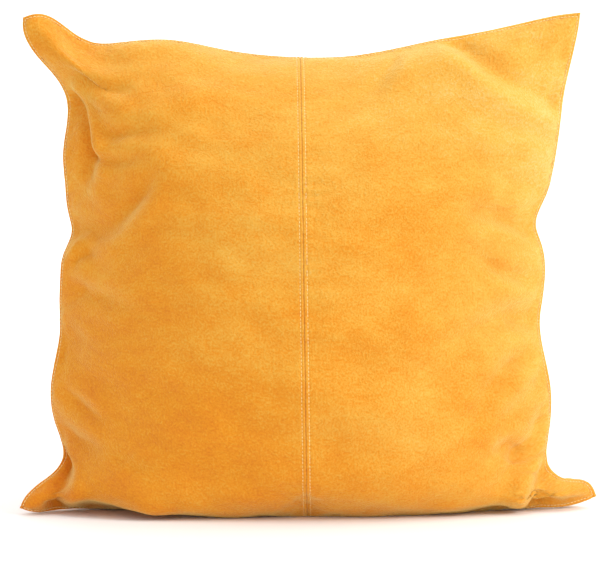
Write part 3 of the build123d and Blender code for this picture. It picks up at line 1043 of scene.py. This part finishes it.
@dataclass
class StitchShape:
    """One stitch, modelled once and laid down many times."""

    length: float = 0.0027
    width: float = 0.00085
    points: np.ndarray = field(init=False)
    faces: np.ndarray = field(init=False)

    def __post_init__(self) -> None:
        """Model the stitch: a short plump strand whose ends dive into the cloth."""
        deselect()
        level = (0, math.pi / 2, 0)
        bpy.ops.mesh.primitive_cylinder_add(vertices=6, radius=0.5, depth=1.0, rotation=level)
        strand = bpy.context.object
        bpy.ops.object.transform_apply(location=False, rotation=True, scale=False)
        bpy.ops.object.mode_set(mode="EDIT")
        bpy.ops.mesh.select_all(action="SELECT")
        bpy.ops.mesh.subdivide(number_cuts=1)
        bpy.ops.mesh.quads_convert_to_tris()
        bpy.ops.object.mode_set(mode="OBJECT")
        mesh = strand.data
        points = np.zeros(len(mesh.vertices) * 3, dtype=np.float32)
        mesh.vertices.foreach_get("co", points)
        points = points.reshape(-1, 3).astype(float)
        ends = 1 - 0.45 * (2 * points[:, 0]) ** 2
        points[:, 1] *= ends
        points[:, 2] = points[:, 2] * ends - 0.35 * (2 * points[:, 0]) ** 4
        self.points = points * (self.length, self.width, self.width)
        self.faces = np.array([tuple(p.vertices) for p in mesh.polygons])
        bpy.data.objects.remove(strand)
        bpy.data.meshes.remove(mesh)

    def lay(self, places: np.ndarray, along: np.ndarray, up: np.ndarray) -> Pair:
        """Copy the stitch to many places.

        Args:
            places: middle of each stitch.
            along: its direction.
            up: the cloth's outward direction there.

        Returns:
            All the vertices and all the faces.
        """
        along = unit(along)
        across = unit(np.cross(up, along))
        up = np.cross(along, across)
        axes = np.stack([along, across, up], 1)
        vertices = places[:, None] + np.einsum("pk,nkd->npd", self.points, axes)
        shift = np.arange(len(places))[:, None, None] * len(self.points)
        return vertices.reshape(-1, 3), (self.faces[None] + shift).reshape(-1, self.faces.shape[1])


@dataclass
class Topstitching:
    """Every row of thread on the cover."""

    form: CoverForm
    thread: Material
    pitch: float = 0.0031
    shape: StitchShape = field(default_factory=StitchShape)

    def row(self, side: Side, path: PathOfCut, lift: float) -> StitchRow:
        """Places, directions and outward directions of the stitches along a path.

        Args:
            side: front or back.
            path: gives u and v on the cut for parameters from 0 to 1.
            lift: height of the thread above the inside surface.

        Returns:
            Three arrays with one row for each stitch.
        """
        u, v = path(np.linspace(0, 1, 3000))
        points = self.form.sample(side, u, v)
        run = np.r_[0, np.cumsum(np.linalg.norm(np.diff(points, axis=0), axis=1))]
        middles = np.arange(self.pitch / 2, run[-1], self.pitch)
        at = np.interp(middles, run, np.linspace(0, 1, 3000))
        u, v = path(at)
        normal = self.form.normals(side, u, v)
        ahead = self.form.sample(side, *path(np.clip(at + 0.0008, 0, 1)))
        behind = self.form.sample(side, *path(np.clip(at - 0.0008, 0, 1)))
        return self.form.sample(side, u, v) + lift * normal, ahead - behind, normal

    def sew(self, name: str, rows: list[StitchRow], *nodes: str) -> None:
        """Make one object of several rows.

        Args:
            name: of the object.
            rows: results of row.
            nodes: the CAD nodes that it stands for.
        """
        places, along, up = (np.concatenate(part) for part in zip(*rows))
        vertices, faces = self.shape.lay(places, along, up)
        finish_piece(new_mesh_object(name, vertices, faces), "thread", self.thread, *nodes)

    def build(self) -> None:
        """Sew the centre seam, the knife edge and the zip's rows."""
        lift = WALL - 0.10 * MM
        for name, sign in (("centre_topstitch_left", -1), ("centre_topstitch_right", 1)):
            line = self.row(
                Side.FRONT,
                lambda t, s=sign: (np.full(t.shape, CUT / 2 + s * CENTRE_ROW), 0.002 + 0.496 * t),
                lift,
            )
            self.sew(f"{name}_thread", [line], name)
        self.sew("edge_topstitch_thread", self.edge_rows(lift), "edge_topstitch")
        row_height = CUT / 128 + ZIP_ROW - SLOT_HALF
        for name, sign in (("zip_topstitch_upper", 1), ("zip_topstitch_lower", -1)):
            line = self.row(
                Side.BACK,
                lambda t, s=sign: (0.052 + 0.396 * t, np.full(t.shape, CUT / 2 + s * row_height)),
                lift,
            )
            self.sew(f"{name}_thread", [line], name)
        self.bartacks(lift)

    def edge_rows(self, lift: float) -> list[StitchRow]:
        """Rows inside the knife edge, on both faces of the cover."""
        near, far = EDGE_ROW, CUT - EDGE_ROW

        def side_path(fixed: float, upright: bool) -> PathOfCut:
            def path(t: np.ndarray) -> Pair:
                run, still = near + (far - near) * t, np.full(t.shape, fixed)
                return (still, run) if upright else (run, still)

            return path

        rows = []
        for side in Side:
            for fixed in (near, far):
                for upright in (True, False):
                    rows.append(self.row(side, side_path(fixed, upright), lift))
        return rows

    def bartacks(self, lift: float) -> None:
        """A dense bar of thread across each end of the zip's opening."""
        rows = []
        for u in (0.0525, 0.4475):
            v = CUT / 2 + np.linspace(-0.0062, 0.0062, 30)
            across = np.full(v.shape, u) + 0.00025 * (-1.0) ** np.arange(30)
            places = self.form.sample(Side.BACK, across, v)
            normal = self.form.normals(Side.BACK, across, v)
            along = self.form.sample(Side.BACK, across + 0.001, v) - places
            rows.append((places + (lift + 0.35 * MM) * normal, along, normal))
        self.sew("zip_end_bartacks_thread", rows, "zip_end_bartacks")


# ------------------------------------------------------------------------------ the zip


@dataclass
class CoilZip:
    """Tapes, coils, stops, slider and pull of the zip across the back."""

    form: CoverForm
    coil_degrees: float = 31.0
    tooth_pitch: float = 0.00127

    def on_arc(self, angle: np.ndarray, radius: float, height: np.ndarray) -> np.ndarray:
        """Points of the zip's arc at angles from +Y towards +X."""
        centre = self.form.half_thickness - ZIP_RADIUS
        return np.stack([radius * np.sin(angle), centre + radius * np.cos(angle), height], -1)

    def build(self, tape: Material, nylon: Material, metal: Material) -> None:
        """Make the zip.

        Args:
            tape: woven tape.
            nylon: the coils.
            metal: the slider, pull and stops.
        """
        for name, sign in (("upper", 1), ("lower", -1)):
            self.tape(name, sign, tape)
            self.coil(name, sign, nylon)
        for node in ("zip_slider", "zip_pull", "zip_end_stops"):
            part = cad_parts[node]
            part.data.materials.clear()
            part.data.materials.append(metal)

    def tape(self, name: str, sign: int, material: Material) -> None:
        """Lay one woven tape under the panel's edge."""
        v = CUT / 2 + sign * np.linspace(0.0007, 0.0125, 9)
        u, v = np.meshgrid(np.linspace(0.045, 0.455, 180), v)
        surface = self.form.sample(Side.BACK, u, v)
        normal = self.form.normals(Side.BACK, u, v)
        outer, inner = (surface - depth * MM * normal for depth in (0.08, 0.65))
        piece = closed_cloth(f"zip_tape_{name}_weave", outer, inner, sign > 0, (u, v))
        finish_piece(piece, "zip_tape", material, f"zip_tape_{name}")

    def coil(self, name: str, sign: int, material: Material) -> None:
        """Lay one row of coil turns, whose heads mesh with the other row's."""
        turn = StitchShape(length=0.0034, width=0.00095)
        limit = math.radians(self.coil_degrees)
        count = int(2 * limit * ZIP_RADIUS / self.tooth_pitch)
        offset = 0.5 if sign > 0 else 0.0
        angles = (np.arange(count) + offset) * self.tooth_pitch / ZIP_RADIUS - limit
        heights = np.full(count, ZIP_HEIGHT + sign * 0.00125)
        places = self.on_arc(angles, ZIP_RADIUS - 0.00045, heights)
        up = unit(self.on_arc(angles, 1.0, heights) - self.on_arc(angles, 0.0, heights))
        along = np.tile((0.0, 0.0, 1.0), (count, 1)) + 0.12 * np.cross(up, (0.0, 0.0, 1.0))
        vertices, faces = turn.lay(places, along, up)
        piece = new_mesh_object(f"zip_coil_{name}_turns", vertices, faces)
        finish_piece(piece, "zip_coil", material, f"zip_coil_{name}")


# --------------------------------------------------------------------------- the insert


@dataclass
class Insert:
    """The casing and filling inside the cover, and the blank labels."""

    form: CoverForm
    shrink: float = 0.93
    clearance: float = 0.0055
    cells: int = 60
    seam_stitches: int = 90

    def layer(self, side: Side, depth: float) -> Grid:
        """A face of the insert, as a grid.

        Args:
            side: front or back.
            depth: metres inside the casing's outer face.

        Returns:
            Points, rows from the bottom.
        """
        p, q = np.meshgrid(np.linspace(-1, 1, self.cells + 1), np.linspace(-1, 1, self.cells + 1))
        shrink = self.shrink - depth / CUT * 2
        u = CUT / 2 * (1 + shrink * p * np.sqrt(1 - q * q / 7))
        v = CUT / 2 * (1 + shrink * q * np.sqrt(1 - p * p / 7))
        front = self.form.sample(Side.FRONT, u, v)
        back = self.form.sample(Side.BACK, u, v)
        middle, reach = (front + back) / 2, (front - back) / 2
        size = np.linalg.norm(reach, axis=-1)
        border = np.maximum(np.abs(p), np.abs(q))
        keep = np.clip(1 - (self.clearance + depth) / np.maximum(size, 1e-4), 0.02, 1)
        keep = keep * np.sqrt(np.clip(1 - border**8, 0, 1))
        points = middle + (1 if side is Side.FRONT else -1) * reach * keep[..., None]
        low = 0.004 + depth
        points[..., 2] = np.maximum(points[..., 2] + low * (1 - v / CUT) ** 6, low)
        return points

    def casing(self, side: Side, node: str, material: Material) -> None:
        """Make one side of the casing as closed cloth."""
        outer, inner = self.layer(side, 0.0), self.layer(side, 0.0006)
        steps = np.linspace(0, CUT, self.cells + 1)
        name = f"insert_casing_{side.name.lower()}"
        piece = closed_cloth(name, outer, inner, side is Side.BACK, np.meshgrid(steps, steps))
        finish_piece(piece, "casing", material, node)

    def filling(self, material: Material) -> None:
        """Make the filling as one closed form."""
        front, back = self.layer(Side.FRONT, 0.002), self.layer(Side.BACK, 0.002)
        piece = closed_cloth("insert_fibre", front, back, False)
        finish_piece(piece, "filling", material, "insert_filling")

    def seam(self, material: Material) -> None:
        """Whip-stitch the top of the casing shut."""
        top = self.layer(Side.FRONT, 0.0)[-1]
        at = np.linspace(4, 56, self.seam_stitches)
        places = np.stack([np.interp(at, range(self.cells + 1), top[:, k]) for k in range(3)], -1)
        places[:, 2] += 0.0004
        along = np.tile((0.25, 1.0, 0.0), (self.seam_stitches, 1))
        up = np.tile((0.0, 0.0, 1.0), (self.seam_stitches, 1))
        vertices, faces = StitchShape(length=0.0030).lay(places, along, up)
        piece = new_mesh_object("insert_seam_thread", vertices, faces)
        finish_piece(piece, "casing_thread", material, "insert_seam_stitch")

    def label(
        self,
        node: str,
        u_span: tuple[float, float],
        v_span: tuple[float, float],
        depth: float,
        material: Material,
    ) -> None:
        """Lay a blank label under the back.

        Args:
            node: the CAD node that it stands for.
            u_span: metres across the cut.
            v_span: metres up the cut.
            depth: metres below the velvet's inside.
            material: the ribbon.
        """
        u, v = np.meshgrid(np.linspace(*u_span, 12), np.linspace(*v_span, 16))
        surface = self.form.sample(Side.BACK, u, v)
        normal = self.form.normals(Side.BACK, u, v)
        outer, inner = (surface - d * normal for d in (depth, depth + 0.0003))
        piece = closed_cloth(f"{node}_tape", outer, inner, True, (u, v))
        finish_piece(piece, "label", material, node)


# --------------------------------------------------------------------------- the studio


@dataclass
class Studio:
    """Pale sweep, soft lights and the camera."""

    camera_place: Place = (-0.0052, -1.9, 0.30)
    camera_tilt_degrees: float = 3.05
    focal: float = 130.2
    world_strength: float = 0.95

    def area(
        self,
        name: str,
        place: Place,
        size: float,
        watts: float,
        target: Place = (0.0, 0.0, 0.2),
    ) -> None:
        """Add a square soft light.

        Args:
            name: of the light.
            place: where it hangs.
            size: its side.
            watts: its power.
            target: the point that it is aimed at.
        """
        light = bpy.data.lights.new(name, "AREA")
        light.energy = watts
        light.size = size

        lamp = bpy.data.objects.new(name, light)
        bpy.context.scene.collection.objects.link(lamp)
        lamp.location = place
        aim = Vector(target) - Vector(place)
        lamp.rotation_euler = aim.to_track_quat("-Z", "Y").to_euler()

    def sweep(self) -> None:
        """A pale floor that curves up into a wall behind."""
        deselect()
        bpy.ops.mesh.primitive_plane_add(size=1, location=(0, 0, 0))
        floor = bpy.context.object
        floor.name = "studio_sweep"
        reach, radius = 2.2, 1.2
        profile = [(-4.0, 0.0), (reach, 0.0)]
        for a in np.linspace(0.1, math.pi / 2, 14):
            profile.append((reach + radius * math.sin(a), radius - radius * math.cos(a)))
        profile.append((reach + radius, 5.0))
        vertices = [(x, y, z) for y, z in profile for x in (-5.0, 5.0)]
        faces = [(2 * k, 2 * k + 1, 2 * k + 3, 2 * k + 2) for k in range(len(profile) - 1)]
        mesh = floor.data
        mesh.clear_geometry()
        mesh.from_pydata(vertices, [], faces)
        mesh.update()
        paper = Nodes("white paper sweep")
        tone = paper.spread(paper.noise(paper.place(False), 0.5), -4.0, 5.0)
        paper.tone(tone, (0.0, (0.90, 0.90, 0.90)), (1.0, (0.94, 0.94, 0.94)))
        paper.put(Roughness=0.9)
        floor.data.materials.append(paper.material)

    def build(self) -> None:
        """Set up the stage, the lights and the camera."""
        self.sweep()
        self.area("key_right", (2.0, -0.8, 1.3), 0.8, 25)
        self.area("top", (0.4, -0.1, 2.4), 1.2, 14)
        self.area("wall_wash", (0.0, 1.4, 2.4), 1.6, 40, (0.0, 3.0, 1.0))
        scene = bpy.context.scene
        world = bpy.data.worlds.new("studio white")
        scene.world = world
        world.use_nodes = True
        back = world.node_tree.nodes["Background"]
        back.inputs["Color"].default_value = (1, 1, 1, 1)
        back.inputs["Strength"].default_value = self.world_strength
        scene.view_settings.view_transform = "Standard"
        lens = bpy.data.cameras.new("camera")
        lens.lens = self.focal
        camera = bpy.data.objects.new("camera", lens)
        scene.collection.objects.link(camera)
        camera.location = self.camera_place
        camera.rotation_euler = (math.radians(90 - self.camera_tilt_degrees), 0, 0)
        scene.camera = camera


def main() -> None:
    """Build the studio, then the pillow from the outside in."""
    logging.basicConfig(level=logging.INFO, format="%(name)s: %(message)s")
    Studio().build()
    form = CoverForm()
    form.settle()

    velvet = Velvet().build()
    thread = Thread("amber thread", (0.90, 0.52, 0.12), (0.99, 0.78, 0.36)).build()
    tape = Woven("amber zip tape", (0.50, 0.18, 0.015), (0.68, 0.28, 0.03), 0.0006).build()
    calico = Woven("white calico", (0.72, 0.71, 0.68), (0.90, 0.89, 0.86), 0.0007).build()
    ribbon = Woven("blank label ribbon", (0.80, 0.79, 0.76), (0.93, 0.92, 0.90), 0.0004).build()
    white_thread = Thread("white thread", (0.80, 0.80, 0.78), (0.94, 0.94, 0.92)).build()

    insert = Insert(form)
    insert.filling(Fibre().build())
    insert.casing(Side.FRONT, "insert_front_shell", calico)
    insert.casing(Side.BACK, "insert_back_shell", calico)
    insert.seam(white_thread)
    insert.label("cover_care_label", (0.080, 0.112), (0.120, 0.172), 0.0012, ribbon)
    insert.label("insert_care_label", (0.330, 0.366), (0.120, 0.164), 0.0030, ribbon)

    half, whole = CUT / 2, CUT
    knife, centre, hem = Border.KNIFE, Border.CENTRE, Border.HEM
    panels = [
        Panel("front_left_panel", Side.FRONT, (0, half), (0, whole),
              {"left": knife, "bottom": knife, "top": knife, "right": centre}),
        Panel("front_right_panel", Side.FRONT, (half, whole), (0, whole),
              {"right": knife, "bottom": knife, "top": knife, "left": centre}),
        Panel("back_upper_panel", Side.BACK, (0, whole), (half, whole),
              {"left": knife, "right": knife, "top": knife, "bottom": hem}),
        Panel("back_lower_panel", Side.BACK, (0, whole), (0, half),
              {"left": knife, "right": knife, "bottom": knife, "top": hem}),
    ]
    for panel in panels:
        panel.build(form, velvet)
    Topstitching(form, thread).build()
    CoilZip(form).build(tape, Moulded().build(), Lacquered().build())


if __name__ == "__main__":
    main()
